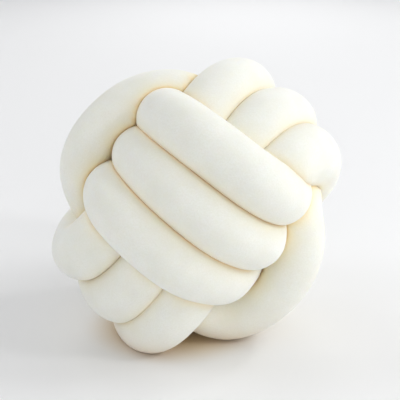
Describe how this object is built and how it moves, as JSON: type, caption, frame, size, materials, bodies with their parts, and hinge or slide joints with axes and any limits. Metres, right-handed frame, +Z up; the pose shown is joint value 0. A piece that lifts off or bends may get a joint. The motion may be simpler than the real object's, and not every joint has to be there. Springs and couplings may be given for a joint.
{
  "type": "round cushion",
  "caption": "Round cushion: one stuffed fabric tube woven round itself into a knotted ball, for a sofa, bed or floor.",
  "frame": {"origin": "on the floor under the middle of the ball's bounding box, at the level of the pressed resting spots", "axes": "+Z up from the floor; -Y towards the side seen in the picture, whose three passes slope down to the right; +X to the right of that side"},
  "size_m": [0.2948, 0.304, 0.2806],
  "materials": {
    "knotted_tube": "matte, short brushed pile"
  },
  "bodies": {
    "root": {"knotted_tube": "knotted_tube"}
  },
  "joints": []
}
